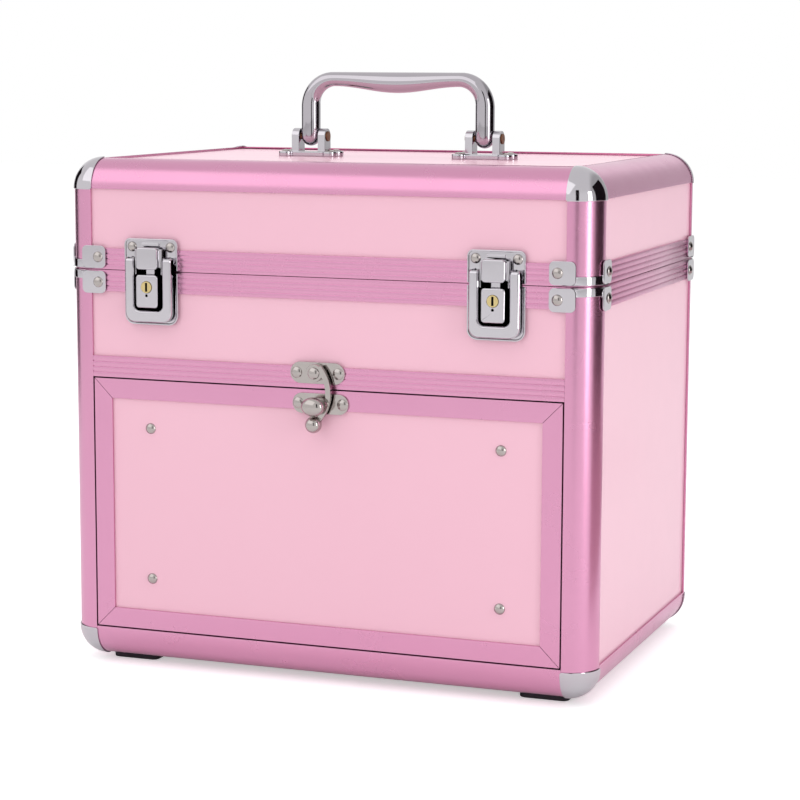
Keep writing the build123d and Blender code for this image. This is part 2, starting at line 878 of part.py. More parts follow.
def latch_claw(x):
    """Claw: a square cap, hollow at the back, on two strips that turn on trunnions in the lever."""
    strip_low = trunnion_height - 2 * trunnion_radius
    with BuildPart() as claw:
        with BuildSketch(front_plane(x, parting, claw_back_out)):
            with Locations((0, (claw_bottom + claw_top) / 2)):
                Rectangle(2 * claw_half, claw_top - claw_bottom)
        extrude(amount=claw_out - claw_back_out)
        fillet(claw.edges().filter_by(Axis.Y), lock_edge)
        chamfer(claw.faces().sort_by(Axis.Y)[0].edges(), lock_chamfer)
        with BuildSketch(front_plane(x, parting, claw_back_out)):
            with Locations((0, (claw_bottom + claw_top) / 2)):
                Rectangle(2 * (claw_half - claw_wall), claw_top - claw_bottom - 2 * claw_wall)
        extrude(amount=claw_out - claw_wall - claw_back_out, mode=Mode.SUBTRACT)
        for sign in (-1, 1):
            outer_face = x + sign * strip_outer_half
            inner_face = x + sign * strip_inner_half
            cap_face = x + sign * (claw_half - claw_wall)
            add(
                block(
                    (min(inner_face, outer_face), front - claw_strip_front, parting + strip_low),
                    (max(inner_face, outer_face), front - lever_back_out, parting + claw_top - claw_wall),
                )
            )
            add(
                block(
                    (min(cap_face, outer_face), front - claw_strip_front, parting + claw_bottom + claw_wall),
                    (max(cap_face, outer_face), front - claw_back_out, parting + claw_top - claw_wall),
                )
            )
            with BuildSketch(side_plane(x + sign * strip_outer_half, parting)):
                with Locations((lever_pivot_out, trunnion_height)):
                    Circle(trunnion_radius)
            extrude(amount=claw_strip_gap + lever_sheet, dir=(sign, 0, 0))
    return claw.part


def lever_pins(x):
    """The two short pins that carry a lever in its base's ears."""
    pin_length = lever_outer_half - ear_inner_half
    with BuildPart() as pins:
        for sign in (-1, 1):
            with BuildSketch(side_plane(x + sign * ear_inner_half, parting)):
                with Locations((lever_pivot_out, lever_pivot_height)):
                    Circle(trunnion_radius)
            extrude(amount=pin_length, dir=(sign, 0, 0))
    return pins.part


def latch_rivets(x):
    """Rivet heads in the keeper's top corners."""
    head = dome(latch_rivet_radius, latch_rivet_height)
    with BuildPart() as rivets:
        places = [(sign * latch_rivet_x, latch_rivet_z) for sign in (-1, 1)]
        with Locations(*[front_plane(x + dx, parting + dz, latch_plate) for dx, dz in places]):
            add(head)
    return rivets.part


latch_x = half_width - latch_inset
latch_places = ((-latch_x, "left"), (latch_x, "right"))

for maker, label in (
    (keeper_plate, "keeper_plates"),
    (latch_base, "latch_bases"),
    (lock_body, "lock_bodies"),
    (lever_pins, "lever_pins"),
    (latch_rivets, "keeper_rivets"),
):
    made = [maker(x) for x, hand in latch_places]
    with BuildPart() as latch_pair:
        add(made)
    save(latch_pair, label)

for maker, label in ((latch_lever, "latch_lever"), (latch_claw, "latch_claw"), (key_plug, "key_plug")):
    for x, hand in latch_places:
        made = maker(x)
        with BuildPart() as latch_piece:
            add(made)
        save(latch_piece, f"{hand}_{label}")

# ---------------------------------------------------------------- swing hook

stud_out = arm_back_out + arm_thickness + arm_play
stud_head = dome(hook_head_radius, hook_head_height)
hook_screw_head = dome(hook_screw_radius, hook_screw_height)

with BuildPart() as hook_plate:
    with BuildSketch(front_plane(hook_plate_x, cross_top - hook_plate_drop)):
        SlotOverall(hook_plate_length, hook_plate_height)
    extrude(amount=hook_sheet)
    with BuildSketch(front_plane(hook_pivot_x, cross_top - hook_pivot_drop)):
        Circle(hook_boss_radius)
    extrude(amount=hook_boss_out)
    with BuildSketch(front_plane(hook_pivot_x, cross_top - hook_pivot_drop)):
        Circle(hook_stud_radius)
    extrude(amount=stud_out)
    with Locations(front_plane(hook_pivot_x, cross_top - hook_pivot_drop, stud_out)):
        add(stud_head)
save(hook_plate, "hook_plate")

with BuildPart() as hook_screws:
    for sign in (-1, 1):
        screw_x = hook_plate_x + sign * hook_screw_spacing / 2
        with Locations(front_plane(screw_x, cross_top - hook_plate_drop, hook_sheet)):
            add(hook_screw_head)
save(hook_screws, "hook_screws")


def bow_point(angle):
    """A point on the hook arm's bow, measured from its centre."""
    turned = math.radians(angle)
    return (
        arm_bow_x + arm_bow_radius * math.cos(turned),
        -arm_bow_drop + arm_bow_radius * math.sin(turned),
    )


with BuildPart() as hook_arm:
    with BuildSketch(front_plane(0, cross_top, arm_back_out)):
        with BuildLine() as bow:
            Line((hook_pivot_x, -hook_pivot_drop), bow_point(arm_start_angle))
            ThreePointArc(
                bow_point(arm_start_angle),
                bow_point((arm_start_angle + arm_end_angle) / 2),
                bow_point(arm_end_angle),
            )
            Line(bow_point(arm_end_angle), (ball_x, -ball_drop))
        trace(line_width=arm_width)
        with Locations((hook_pivot_x, -hook_pivot_drop)):
            Circle(arm_disc_radius)
    extrude(amount=arm_thickness)
    with Locations((ball_x, front - ball_out, cross_top - ball_drop)):
        Sphere(ball_radius)
    with BuildSketch(front_plane(hook_pivot_x, cross_top - hook_pivot_drop)):
        Circle(hook_stud_radius + pin_fit)
    extrude(amount=stud_out, mode=Mode.SUBTRACT)
save(hook_arm, "hook_arm")

# The knob's head is an egg that lies across the case.
knob_stretch = (knob_head_half_length / knob_head_radius, 1, knob_head_half_depth / knob_head_radius)
knob_head = scale(Sphere(knob_head_radius), by=knob_stretch)

with BuildPart() as knob_plate:
    with BuildSketch(front_plane(knob_plate_x, cross_top - knob_plate_drop)):
        SlotOverall(knob_plate_length, knob_plate_height)
    extrude(amount=hook_sheet)
    with BuildSketch(front_plane(knob_x, cross_top - knob_drop)):
        Circle(knob_collar_radius)
    extrude(amount=knob_collar_out)
    with BuildSketch(front_plane(knob_x, cross_top - knob_drop)):
        Circle(knob_waist_radius)
    extrude(amount=knob_head_out)
    with Locations(front_plane(knob_x, cross_top - knob_drop, knob_head_out)):
        add(knob_head)
save(knob_plate, "knob_plate")

with BuildPart() as knob_screws:
    for sign in (-1, 1):
        screw_x = knob_plate_x + sign * knob_screw_spacing / 2
        with Locations(front_plane(screw_x, cross_top - knob_plate_drop, hook_sheet)):
            add(hook_screw_head)
save(knob_screws, "knob_screws")

# ---------------------------------------------------------------- drawer

frame_half = post_x - drawer_gap
frame_low = sill_top + drawer_gap
frame_high = cross_low - drawer_gap
frame_middle = (frame_low + frame_high) / 2
frame_half_height = (frame_high - frame_low) / 2
opening_half = frame_half - drawer_frame_width
opening_half_height = frame_half_height - drawer_frame_width
slot_half = opening_half + slot_depth
slot_half_height = opening_half_height + slot_depth

ring_outer = [(1, 1), (-1, 1), (-1, -1), (1, -1)]


def frame_member(side):
    """One mitred member of the drawer frame, between two corners of the ring, slotted for the panel."""
    start, end = ring_outer[side], ring_outer[(side + 1) % len(ring_outer)]
    along = (Vector(*end) - Vector(*start)).normalized()
    mitre_shift = mitre_gap / math.sqrt(2)
    outline = []
    for (sx, sy), half_x, half_z, shift in (
        (start, frame_half, frame_half_height, mitre_shift),
        (end, frame_half, frame_half_height, -mitre_shift),
        (end, opening_half, opening_half_height, -mitre_shift),
        (start, opening_half, opening_half_height, mitre_shift),
    ):
        outline.append((sx * half_x + shift * along.X, sy * half_z + shift * along.Y))
    with BuildPart() as member:
        with BuildSketch(front_plane(0, frame_middle)):
            Polygon(*outline, align=None)
        extrude(amount=-rail_depth)
        with BuildSketch(front_plane(0, frame_middle, -lip_thickness)):
            Rectangle(2 * slot_half, 2 * slot_half_height)
        extrude(amount=-panel_slot, mode=Mode.SUBTRACT)
    return member.part


with BuildPart() as drawer_frame:
    for member_side in range(len(ring_outer)):
        add(frame_member(member_side))
save(drawer_frame, "drawer_frame")

lip_inner = board_inner_half - channel_width
drawer_box_half = lip_inner - runner_side_gap
bolt_x = drawer_box_half - bolt_side_inset
bolt_heights = (frame_high - bolt_top_inset, frame_low + bolt_bottom_inset)
bolt_places = [(sx * bolt_x, z) for sx in (-1, 1) for z in bolt_heights]
panel_front = front + panel_recess
box_front = panel_front + panel_thickness
box_back = inner_y - drawer_back_gap
box_low = frame_low + drawer_box_lift
box_high = frame_high - drawer_box_drop
box_inner = drawer_box_half - drawer_board
box_inner_back = box_back - drawer_board
bolt_hole = bolt_shank_radius + bolt_fit

with BuildPart() as drawer_front_panel:
    with BuildSketch(front_plane(0, frame_middle, -panel_recess)):
        Rectangle(2 * (slot_half - edge_clearance), 2 * (slot_half_height - edge_clearance))
        with Locations(*[(x, z - frame_middle) for x, z in bolt_places]):
            Circle(bolt_hole, mode=Mode.SUBTRACT)
    extrude(amount=-panel_thickness)
save(drawer_front_panel, "drawer_front_panel")

with BuildPart() as drawer_inner_front:
    add(block((-drawer_box_half, box_front, box_low), (drawer_box_half, box_front + drawer_board, box_high)))
    with Locations(*[front_plane(x, z, -panel_recess - panel_thickness) for x, z in bolt_places]):
        Cylinder(bolt_hole, 2 * drawer_board, mode=Mode.SUBTRACT)
save(drawer_inner_front, "drawer_inner_front")

with BuildPart() as drawer_sides:
    for sx in (-1, 1):
        near, far = sorted((sx * box_inner, sx * drawer_box_half))
        add(block((near, box_front + drawer_board, box_low), (far, box_back, box_high)))
save(drawer_sides, "drawer_sides")

with BuildPart() as drawer_back:
    add(block((-box_inner, box_inner_back, box_low), (box_inner, box_back, box_high)))
save(drawer_back, "drawer_back")

with BuildPart() as drawer_floor:
    add(
        block(
            (-box_inner, box_front + drawer_board, box_low + drawer_floor_lift),
            (box_inner, box_inner_back, box_low + drawer_floor_lift + drawer_floor_thickness),
        )
    )
save(drawer_floor, "drawer_floor")

bolt_length = panel_thickness + drawer_board + nut_thickness

with BuildPart() as drawer_bolts:
    bolt_head = dome(bolt_head_radius, bolt_head_height)
    with Locations(*[front_plane(x, z, -panel_recess) for x, z in bolt_places]):
        add(bolt_head)
    for x, z in bolt_places:
        with BuildSketch(front_plane(x, z, -panel_recess)):
            Circle(bolt_shank_radius)
        extrude(amount=-bolt_length)
save(drawer_bolts, "drawer_bolts")

with BuildPart() as drawer_nuts:
    for x, z in bolt_places:
        with BuildSketch(front_plane(x, z, -panel_recess - panel_thickness - drawer_board)):
            RegularPolygon(nut_radius, 6)
            Circle(bolt_hole, mode=Mode.SUBTRACT)
        extrude(amount=-nut_thickness)
save(drawer_nuts, "drawer_nuts")

# ---------------------------------------------------------------- drawer runners

runner_z = box_low + runner_lift
channel_half = channel_height / 2 - channel_sheet
channel_middle = board_inner_half - channel_width / 2
neck_tip = lip_inner + channel_sheet + runner_clearance
bar_tip = board_inner_half - channel_sheet - runner_clearance
bar_half = channel_half - runner_clearance

with BuildSketch() as channel_profile:
    with Locations((channel_middle, 0)):
        Rectangle(channel_width, channel_height)
        Rectangle(channel_width - 2 * channel_sheet, 2 * channel_half, mode=Mode.SUBTRACT)
    with Locations((lip_inner, 0)):
        Rectangle(2 * channel_sheet, 2 * (bar_neck_half + runner_clearance), mode=Mode.SUBTRACT)

with BuildSketch() as bar_profile:
    with Locations(((drawer_box_half + neck_tip) / 2, 0)):
        Rectangle(neck_tip - drawer_box_half, 2 * bar_neck_half)
    with Locations(((neck_tip + bar_tip) / 2, 0)):
        Rectangle(bar_tip - neck_tip, 2 * bar_half)

for profile, runner_start, runner_end, label in (
    (channel_profile.sketch, board_end_gap - post_y, post_y - board_end_gap, "runner_channels"),
    (bar_profile.sketch, box_front + drawer_board, box_back, "runner_bars"),
):
    with BuildPart() as runner:
        with BuildSketch(Plane(origin=(0, runner_start, runner_z), x_dir=(1, 0, 0), z_dir=(0, -1, 0))):
            add(profile)
        extrude(amount=runner_start - runner_end)
        mirror(about=Plane.YZ)
    save(runner, label)

# ---------------------------------------------------------------- carrying handle

bracket_low = lid_top - panel_recess
base_top = bracket_low + bracket_base_thickness
pivot_z = base_top + handle_pivot_lift
ear_inner = leg_radius + leg_ear_gap
ear_outer = ear_inner + bracket_ear_thickness
screw_places = [(sx * bracket_lobe_x, sy * bracket_lobe_y) for sx, sy in corners]


def handle_plane(x):
    """A plane across X through the handle's middle, its X pointing back and its Y up from the base's top."""
    return Plane(origin=(x, handle_back_offset, base_top), x_dir=(0, 1, 0), z_dir=(1, 0, 0))


def handle_bracket(x):
    """A lobed base with two ears that hold one leg of the handle."""
    with BuildPart() as bracket:
        with BuildSketch(Plane((x, handle_back_offset, bracket_low))):
            Rectangle(bracket_base_length - 2 * bracket_lobe_radius, bracket_base_width)
            with Locations(*screw_places):
                Circle(bracket_lobe_radius)
        extrude(amount=bracket_base_thickness)
        for sign in (-1, 1):
            with BuildSketch(handle_plane(x + sign * ear_inner)):
                with Locations((0, handle_pivot_lift / 2)):
                    Rectangle(2 * bracket_ear_radius, handle_pivot_lift)
                with Locations((0, handle_pivot_lift)):
                    Circle(bracket_ear_radius)
                    Circle(handle_pin_radius + pin_fit, mode=Mode.SUBTRACT)
            extrude(amount=bracket_ear_thickness, dir=(sign, 0, 0))
    return bracket.part


def handle_pin(x):
    """A headed pin through both ears and the leg between them."""
    with BuildPart() as pin:
        for radius, start, length in (
            (handle_pin_radius, -ear_outer, 2 * ear_outer),
            (handle_pin_head_radius, -ear_outer - handle_pin_head, handle_pin_head),
            (handle_pin_head_radius, ear_outer, handle_pin_head),
        ):
            with BuildSketch(handle_plane(x + start)):
                with Locations((0, handle_pivot_lift)):
                    Circle(radius)
            extrude(amount=length)
    return pin.part


def bracket_screws(x):
    """The four screw heads of one bracket."""
    head = dome(bracket_screw_radius, bracket_screw_height)
    with BuildPart() as screws:
        with Locations(*[(x + dx, handle_back_offset + dy, base_top) for dx, dy in screw_places]):
            add(head)
    return screws.part


leg_x = handle_spacing / 2

for maker, label in (
    (handle_bracket, "handle_brackets"),
    (handle_pin, "handle_pins"),
    (bracket_screws, "bracket_screws"),
):
    made = [maker(x) for x in (-leg_x, leg_x)]
    with BuildPart() as bracket_pair:
        add(made)
    save(bracket_pair, label)

grip_top = parting + handle_top
bend_z = grip_top - grip_end_height / 2 - bend_radius
bend_x = leg_x - bend_radius

with BuildPart() as handle_bail:
    # The round leg goes round the bend and flattens into the end of the grip.
    for turn in range(bend_sections + 1):
        share = turn / bend_sections
        angle = share * math.pi / 2
        sine = math.sin(angle)
        cosine = math.cos(angle)
        centre = (bend_x + bend_radius * cosine, handle_back_offset, bend_z + bend_radius * sine)
        along = (-sine, 0, cosine)
        with BuildSketch(Plane(origin=centre, x_dir=(0, 1, 0), z_dir=along)):
            Ellipse(
                leg_radius + share * (grip_end_width / 2 - leg_radius),
                leg_radius + share * (grip_end_height / 2 - leg_radius),
            )
    loft()
    # The grip's belly grows evenly from both ends to the middle.
    for turn in range(grip_sections + 1):
        share = turn / grip_sections
        swell = math.sin(share * math.pi) ** 2
        height = grip_end_height + swell * (grip_mid_height - grip_end_height)
        width = grip_end_width + swell * (grip_mid_width - grip_end_width)
        centre = (bend_x * (1 - 2 * share), handle_back_offset, grip_top - height / 2)
        with BuildSketch(Plane(origin=centre, x_dir=(0, 1, 0), z_dir=(-1, 0, 0))):
            Ellipse(width / 2, height / 2)
    loft()
    # The round leg ends in a ball about its pivot, between the bracket's ears.
    with BuildSketch(Plane((leg_x, handle_back_offset, pivot_z))):
        Circle(leg_radius)
    extrude(amount=bend_z - pivot_z)
    with Locations((leg_x, handle_back_offset, pivot_z)):
        Sphere(leg_radius)
    with BuildSketch(handle_plane(leg_x)):
        with Locations((0, handle_pivot_lift)):
            Circle(handle_pin_radius + pin_fit)
    extrude(amount=leg_radius, both=True, mode=Mode.SUBTRACT)
    mirror(about=Plane.YZ)
save(handle_bail, "handle_bail")
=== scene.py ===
"""Makeup storage case with a lift-up lid, a drawer and a carrying handle: its finishes and its studio."""
import json
import logging
import math
from collections.abc import Callable
from dataclasses import dataclass, field
from enum import Enum
from typing import Any

import bpy
from mathutils import Matrix, Vector


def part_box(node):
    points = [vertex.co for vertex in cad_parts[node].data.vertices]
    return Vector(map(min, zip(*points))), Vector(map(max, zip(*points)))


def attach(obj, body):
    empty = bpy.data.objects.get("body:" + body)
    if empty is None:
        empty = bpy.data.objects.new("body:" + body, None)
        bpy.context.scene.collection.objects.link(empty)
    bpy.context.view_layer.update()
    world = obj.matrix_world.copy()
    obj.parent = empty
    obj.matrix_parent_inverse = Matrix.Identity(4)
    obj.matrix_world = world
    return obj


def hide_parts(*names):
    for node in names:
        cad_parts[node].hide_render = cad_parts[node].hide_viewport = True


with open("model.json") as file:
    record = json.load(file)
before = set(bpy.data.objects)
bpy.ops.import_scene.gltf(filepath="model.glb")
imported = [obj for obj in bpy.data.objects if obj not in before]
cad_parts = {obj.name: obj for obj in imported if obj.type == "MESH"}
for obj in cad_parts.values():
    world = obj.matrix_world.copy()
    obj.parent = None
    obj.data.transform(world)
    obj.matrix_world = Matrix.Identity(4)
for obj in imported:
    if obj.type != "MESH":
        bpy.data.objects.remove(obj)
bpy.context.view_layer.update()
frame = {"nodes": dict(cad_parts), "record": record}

logging.basicConfig(level=logging.INFO, format="%(message)s")
log = logging.getLogger("makeup_case")

MM = 0.001

# Clouds inside a finish: how finely they break up, and between which values nearly all of a noise lies.
DRIFT_DETAIL = 3.0
GLOSS_DETAIL = 4.0
NOISE_LOW, NOISE_HIGH = 0.3, 0.7

# Rounding of edges: what counts as one point, in millimetres, and as one flat face and an edge, in degrees.
WELD = 0.002
FLAT_ANGLE = 0.4
CREASE_ANGLE = 32.0
EDGE_STEPS = 2


class Slot(Enum):
    """The record's material slots."""

    LAMINATE = "pink_laminate"
    ANODISED = "pink_anodised"
    PLATED = "plated_steel"
    ZINC = "zinc_steel"
    KEY_BRASS = "key_brass"
    AGED_PIN = "aged_pin"
    RUBBER = "dark_rubber"
    BOARD = "black_board"
    LINING = "black_lining"


# ---------------------------------------------------------------- materials


def linear(code: str) -> tuple[float, float, float, float]:
    """Turns an sRGB hex colour into linear light.

    Args:
        code: six hex digits, red first.

    Returns:
        Linear red, green and blue with an alpha of 1.
    """
    parts = [int(code[start:start + 2], 16) / 255 for start in (0, 2, 4)]
    red, green, blue = (p / 12.92 if p <= 0.04045 else ((p + 0.055) / 1.055) ** 2.4 for p in parts)
    return red, green, blue, 1.0


def add_node(
    tree: bpy.types.NodeTree,
    kind: str,
    settings: dict[str, Any] | None = None,
    inputs: dict[str | int, Any] | None = None,
) -> bpy.types.Node:
    """Adds a node with its settings, and fills its sockets with values or links.

    Args:
        tree: the node tree that gets the node.
        kind: the node's type name.
        settings: properties of the node by name.
        inputs: values, or output sockets to link, by the input's name or number.

    Returns:
        The new node.
    """
    node = tree.nodes.new(kind)
    for name, value in (settings or {}).items():
        setattr(node, name, value)
    for name, value in (inputs or {}).items():
        if isinstance(value, bpy.types.NodeSocket):
            tree.links.new(value, node.inputs[name])
        else:
            node.inputs[name].default_value = value
    return node


def new_tree(name: str) -> tuple[bpy.types.Material, bpy.types.NodeTree]:
    """Makes an empty node material.

    Args:
        name: the material's name.

    Returns:
        The material and its empty node tree.
    """
    material = bpy.data.materials.new(name)
    material.use_nodes = True
    material.node_tree.nodes.clear()
    return material, material.node_tree


@dataclass(frozen=True)
class Grain:
    """A fine relief, given by its real spacing and depth in millimetres."""

    spacing: float
    depth: float
    strength: float = 1.0
    detail: float = 2.0
    stretch: tuple[float, float, float] = (1.0, 1.0, 1.0)


@dataclass(frozen=True)
class Finish:
    """A surface: two close tones that drift into each other, a gloss that varies, and a fine relief."""

    name: str
    tone: str
    drift: str
    roughness: tuple[float, float]
    grain: Grain
    metallic: float = 0.0
    drift_size: float = 60.0
    gloss_size: float = 20.0
    specular: float = 0.5
    sheen: float = 0.0

    def make(self) -> bpy.types.Material:
        """Builds the material.

        Returns:
            The finished material.
        """
        material, tree = new_tree(self.name)
        place = add_node(tree, "ShaderNodeTexCoord").outputs["Object"]
        cloud = add_node(
            tree, "ShaderNodeTexNoise", None,
            {"Vector": place, "Scale": 1 / (self.drift_size * MM), "Detail": DRIFT_DETAIL},
        )
        tone = add_node(
            tree, "ShaderNodeMix", {"data_type": "RGBA"},
            {0: cloud.outputs["Fac"], 6: linear(self.tone), 7: linear(self.drift)},
        )
        patch = add_node(
            tree, "ShaderNodeTexNoise", None,
            {"Vector": place, "Scale": 1 / (self.gloss_size * MM), "Detail": GLOSS_DETAIL},
        )
        gloss = add_node(
            tree, "ShaderNodeMapRange", None,
            {"Value": patch.outputs["Fac"], "From Min": NOISE_LOW, "From Max": NOISE_HIGH,
             "To Min": self.roughness[0], "To Max": self.roughness[1]},
        )
        laid = add_node(tree, "ShaderNodeMapping", None, {"Vector": place, "Scale": self.grain.stretch})
        grit = add_node(
            tree, "ShaderNodeTexNoise", None,
            {"Vector": laid.outputs["Vector"], "Scale": 1 / (self.grain.spacing * MM),
             "Detail": self.grain.detail},
        )
        relief = add_node(
            tree, "ShaderNodeBump", None,
            {"Height": grit.outputs["Fac"], "Distance": self.grain.depth * MM,
             "Strength": self.grain.strength},
        )
        shader = add_node(
            tree, "ShaderNodeBsdfPrincipled", None,
            {"Base Color": tone.outputs[2], "Metallic": self.metallic, "Roughness": gloss.outputs["Result"],
             "Specular IOR Level": self.specular, "Sheen Weight": self.sheen,
             "Normal": relief.outputs["Normal"]},
        )
        add_node(tree, "ShaderNodeOutputMaterial", None, {"Surface": shader.outputs[0]})
        return material


# Pressed ABS laminate on fibreboard: an even soft pink with a dull shine and a faint orange peel.
PINK_LAMINATE = Finish(
    "laminate_pink_abs", "F5C2D3", "F2BDCF", (0.22, 0.25), Grain(0.9, 0.008, 0.5), drift_size=160.0,
)
# Extruded aluminium, blasted and anodised: a satin metal whose fine sparkle is the blasted grain. The real
# grain of about 0.1 mm is too fine to show, so it is drawn at 0.35 mm.
PINK_ANODISED = Finish(
    "aluminium_satin_anodised_pink", "DB9EBD", "D798B8", (0.23, 0.28), Grain(0.35, 0.02, 0.35),
    metallic=1.0, drift_size=90.0,
)
# Pressed steel with bright nickel and chrome plate: a mirror that waves a little where the sheet was drawn.
BRIGHT_CHROME = Finish(
    "steel_pressed_chrome_plated", "C8C4C9", "C1BDC3", (0.05, 0.1), Grain(7.0, 0.03, 0.5, 1.0),
    metallic=1.0, drift_size=30.0,
)
# Drawn steel rod, polished before its chrome plate: a darker, cleaner mirror than the pressed parts.
POLISHED_ROD = Finish(
    "steel_rod_chrome_polished", "BAB5BB", "B2ADB3", (0.04, 0.08), Grain(9.0, 0.02, 0.5, 1.0),
    metallic=1.0, drift_size=30.0,
)
# Cast and barrel-plated nickel: a warmer grey mirror with a soft tumbled surface.
CAST_NICKEL = Finish(
    "zinc_cast_nickel_plated", "B8B1AE", "ABA4A1", (0.08, 0.16), Grain(3.0, 0.03, 0.5, 2.0),
    metallic=1.0, drift_size=12.0, gloss_size=6.0,
)
# Rolled steel with a thin zinc plate: dull grey with long rolling lines.
ZINC_STEEL = Finish(
    "steel_rolled_zinc_plated", "B9BBBD", "A9ABAE", (0.32, 0.45),
    Grain(0.6, 0.02, 0.4, stretch=(1.0, 0.03, 1.0)), metallic=1.0, drift_size=25.0,
)
# Turned brass: a yellow metal with fine tool rings that dull it a little.
TURNED_BRASS = Finish(
    "brass_turned", "DDCB97", "CDB67C", (0.1, 0.2), Grain(0.3, 0.02, 0.5, stretch=(1.0, 0.2, 1.0)),
    metallic=1.0, drift_size=4.0, gloss_size=2.0,
)
# Painted shade in the key slot, standing in for the shadow that falls deep in the keyway: near black and
# matt.
KEYWAY_PAINTED_SHADE = Finish(
    "painted_shade_in_keyway", "1D1A18", "262220", (0.5, 0.6), Grain(0.4, 0.02, 0.5), drift_size=2.0,
    specular=0.3,
)
# Drawn copper-brown pin wire, peened over: dull and stained.
AGED_PIN = Finish(
    "brass_pin_peened", "9A6E50", "6E4B39", (0.35, 0.5), Grain(0.8, 0.05, 0.6),
    metallic=1.0, drift_size=3.0, gloss_size=3.0,
)
# Moulded rubber: near black, matt, with the mould's fine spark texture.
MOULDED_RUBBER = Finish(
    "rubber_moulded_black", "37343A", "2C2A2F", (0.7, 0.85), Grain(0.5, 0.06, 0.6), drift_size=20.0,
    specular=0.3,
)
# Fibreboard with a black melamine face: flat, with a pressed pore.
BLACK_BOARD = Finish(
    "board_black_melamine", "252427", "2C2B2E", (0.45, 0.6),
    Grain(1.2, 0.04, 0.5, stretch=(0.15, 1.0, 1.0)), drift_size=70.0, specular=0.4,
)
# EVA foam with nylon flock: black, with a soft nap that catches light at its edges.
FLOCKED_FOAM = Finish(
    "foam_flocked_black", "1B1A1C", "262427", (0.88, 0.98), Grain(0.7, 0.15, 0.9, 4.0), drift_size=35.0,
    specular=0.2, sheen=0.4,
)


class Wardrobe:
    """Makes each finish once and hands it out."""

    def __init__(self) -> None:
        """Starts with no material made."""
        self.made: dict[str, bpy.types.Material] = {}

    def of(self, finish: Finish) -> bpy.types.Material:
        """Gives the material of a finish.

        Args:
            finish: the finish that is asked for.

        Returns:
            Its one material.
        """
        if finish.name not in self.made:
            self.made[finish.name] = finish.make()
        return self.made[finish.name]


wardrobe = Wardrobe()

# ---------------------------------------------------------------- modelling helpers


def clear_selection() -> None:
    """Leaves edit mode and deselects every object."""
    if bpy.context.mode != "OBJECT":
        bpy.ops.object.mode_set(mode="OBJECT")
    bpy.ops.object.select_all(action="DESELECT")


def take(piece: bpy.types.Object) -> None:
    """Makes a piece the only selected and active object."""
    clear_selection()
    piece.select_set(True)
    bpy.context.view_layer.objects.active = piece


def pick_ring(piece: bpy.types.Object, belongs: Callable[[Vector], bool]) -> None:
    """Selects the points of one ring of a piece and the edges between them, and goes to edit mode.

    Args:
        piece: the piece, which becomes the active object.
        belongs: tells from a point's place whether it is in the ring.
    """
    take(piece)
    mesh = piece.data
    for vertex in mesh.vertices:
        vertex.select = belongs(vertex.co)
    for edge in mesh.edges:
        edge.select = all(mesh.vertices[number].select for number in edge.vertices)
    for face in mesh.polygons:
        face.select = False
    bpy.ops.object.mode_set(mode="EDIT")


def settle(piece: bpy.types.Object) -> None:
    """Puts a piece's place into its mesh."""
    take(piece)
    bpy.ops.object.transform_apply(location=True, rotation=True, scale=True)


def apply_modifier(piece: bpy.types.Object, kind: str, settings: dict[str, Any]) -> None:
    """Adds a modifier to a piece and applies it.

    Args:
        piece: the piece that is changed.
        kind: the modifier's type.
        settings: its properties by name.
    """
    take(piece)
    modifier = piece.modifiers.new(kind.lower(), kind)
    for name, value in settings.items():
        setattr(modifier, name, value)
    bpy.ops.object.modifier_apply(modifier=modifier.name)


def paint(piece: bpy.types.Object, finish: Finish) -> None:
    """Gives a piece one finish all over."""
    piece.data.materials.clear()
    piece.data.materials.append(wardrobe.of(finish))


def body_of_node(node: str) -> str:
    """Gives the name of the body that a CAD node belongs to."""
    bodies = frame["record"]["behaviour"]["bodies"]
    return next(body for body, nodes in bodies.items() if node in nodes)


def hand_over(piece: bpy.types.Object, finish: Finish, node: str) -> None:
    """Paints a piece and lets it stand in for a CAD node, on that node's body.

    Args:
        piece: the finished piece.
        finish: its finish.
        node: the CAD node that it replaces.
    """
    body = body_of_node(node)
    paint(piece, finish)
    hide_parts(node)
    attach(piece, body)
    log.info("%s: %d faces, on %s", piece.name, len(piece.data.polygons), body)


def dress(node: str, finish: Finish) -> None:
    """Gives a CAD node that keeps its own mesh a finish."""
    paint(frame["nodes"][node], finish)
    log.info("%s: keeps its shape", node)


def soften(node: str, finish: Finish, width: float, flat: bool = True) -> None:
    """Lets a copy with rounded edges stand in for a CAD node.

    Args:
        node: the CAD node's name.
        finish: the copy's finish.
        width: the edges' rounding in millimetres.
        flat: whether large faces keep their own normals, so that they shade as flat.
    """
    piece = bpy.data.objects.new(f"{node}_soft", frame["nodes"][node].data.copy())
    bpy.context.scene.collection.objects.link(piece)
    take(piece)
    bpy.ops.mesh.customdata_custom_splitnormals_clear()
    bpy.ops.object.mode_set(mode="EDIT")
    bpy.ops.mesh.select_all(action="SELECT")
    bpy.ops.mesh.remove_doubles(threshold=WELD * MM)
    bpy.ops.mesh.dissolve_limited(angle_limit=math.radians(FLAT_ANGLE))
    bpy.ops.object.mode_set(mode="OBJECT")
    apply_modifier(piece, "BEVEL", {
        "width": width * MM, "segments": EDGE_STEPS, "limit_method": "ANGLE",
        "angle_limit": math.radians(CREASE_ANGLE), "use_clamp_overlap": False, "miter_outer": "MITER_ARC",
    })
    bpy.ops.object.shade_smooth_by_angle(angle=math.radians(CREASE_ANGLE))
    if flat:
        apply_modifier(piece, "WEIGHTED_NORMAL", {"mode": "FACE_AREA", "keep_sharp": True})
    hand_over(piece, finish, node)


# ---------------------------------------------------------------- sub-assemblies


